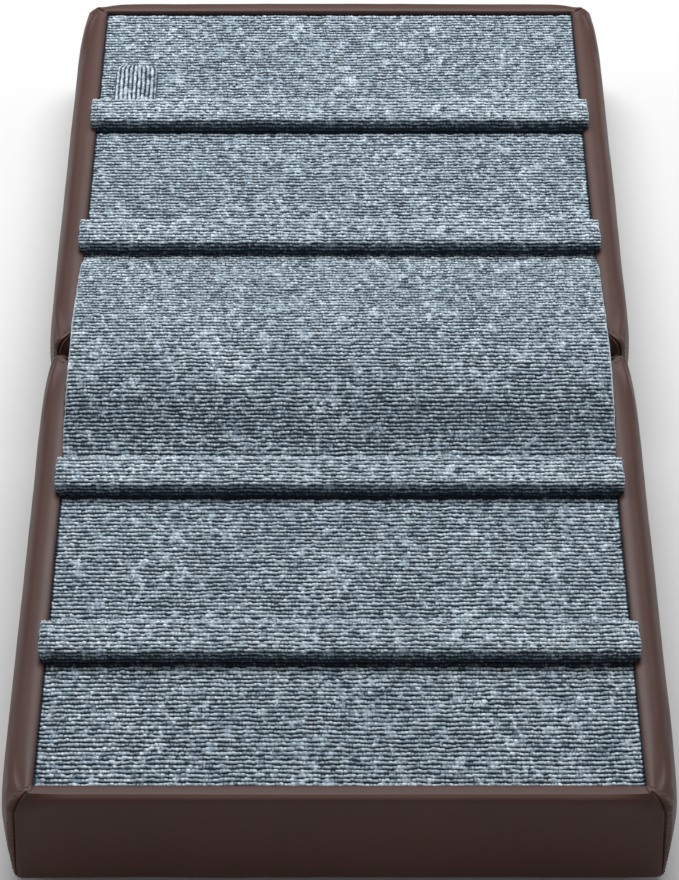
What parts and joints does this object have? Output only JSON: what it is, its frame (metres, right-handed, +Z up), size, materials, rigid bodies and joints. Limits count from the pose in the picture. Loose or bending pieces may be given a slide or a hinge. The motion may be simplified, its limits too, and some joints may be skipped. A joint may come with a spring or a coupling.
{
  "type": "dog ramp",
  "caption": "Folding upholstered dog ramp: two padded, leather-covered sections hinged on the tread side under one ribbed carpet runner with raised cleats.",
  "frame": {"origin": "on the floor under the middle of the fold, at the centre of the footprint; the ramp lies flat and open on its rubber feet", "axes": "+X to the right across the ramp's width, +Y up the ramp towards its top end, +Z up"},
  "size_m": [0.46, 0.896, 0.1034],
  "materials": {
    "leather": "smooth dark-brown faux leather, satin",
    "carpet": "blue-grey ribbed loop-pile carpet",
    "foam": "upholstery foam, light",
    "plywood": "plain plywood and sawn wood",
    "steel": "zinc-plated steel",
    "rubber": "black rubber",
    "underside_cloth": "black non-woven dust cover"
  },
  "bodies": {
    "lower_section": {"lower_base_board": "plywood", "lower_deck_board": "plywood", "lower_left_rail": "plywood", "lower_right_rail": "plywood", "lower_hinge_rail": "plywood", "lower_mid_rail": "plywood", "lower_end_rail": "plywood", "lower_left_foam": "foam", "lower_left_leather": "leather", "lower_right_foam": "foam", "lower_right_leather": "leather", "lower_end_foam": "foam", "lower_end_leather": "leather", "lower_hinge_end_leather": "leather", "lower_underside_cloth": "underside_cloth", "lower_foot_1": "rubber", "lower_foot_2": "rubber", "lower_foot_3": "rubber", "lower_foot_4": "rubber", "lower_cleat_cover_1": "carpet", "lower_cleat_batten_1": "plywood", "lower_cleat_cover_2": "carpet", "lower_cleat_batten_2": "plywood", "lower_carpet": "carpet", "lower_carpet_bridge": "carpet", "hinge_leaf_lower": "steel", "hinge_pin": "steel", "bolt_guide_left": "steel", "bolt_guide_right": "steel"},
    "upper_section": {"upper_base_board": "plywood", "upper_deck_board": "plywood", "upper_left_rail": "plywood", "upper_right_rail": "plywood", "upper_hinge_rail": "plywood", "upper_mid_rail": "plywood", "upper_end_rail": "plywood", "upper_left_foam": "foam", "upper_left_leather": "leather", "upper_right_foam": "foam", "upper_right_leather": "leather", "upper_end_foam": "foam", "upper_end_leather": "leather", "upper_hinge_end_leather": "leather", "upper_underside_cloth": "underside_cloth", "upper_foot_1": "rubber", "upper_foot_2": "rubber", "upper_foot_3": "rubber", "upper_foot_4": "rubber", "upper_cleat_cover_1": "carpet", "upper_cleat_batten_1": "plywood", "upper_cleat_cover_2": "carpet", "upper_cleat_batten_2": "plywood", "upper_carpet": "carpet", "upper_carpet_bridge": "carpet", "hinge_leaf_upper": "steel", "bolt_keeper_left": "steel", "bolt_keeper_right": "steel"},
    "lock_bolt_left": {"lock_bolt_left": "steel"},
    "lock_bolt_right": {"lock_bolt_right": "steel"},
    "pull_tab": {"pull_tab": "carpet"}
  },
  "joints": [
    {"name": "fold", "type": "hinge", "parent": "lower_section", "child": "upper_section", "pos_m": [0, 0, 0.0903], "axis": [1, 0, 0], "range_deg": [0, 170], "deforming": ["lower_carpet_bridge", "upper_carpet_bridge"]},
    {"name": "lock_bolt_left_slide", "type": "slide", "parent": "lower_section", "child": "lock_bolt_left", "axis": [0, 1, 0], "range_m": [0, 0.022]},
    {"name": "lock_bolt_right_slide", "type": "slide", "parent": "lower_section", "child": "lock_bolt_right", "axis": [0, 1, 0], "range_m": [0, 0.022]},
    {"name": "tab_lift", "type": "hinge", "parent": "upper_section", "child": "pull_tab", "pos_m": [-0.178, 0.30375, 0.0878], "axis": [1, 0, 0], "range_deg": [0, 60]}
  ]
}
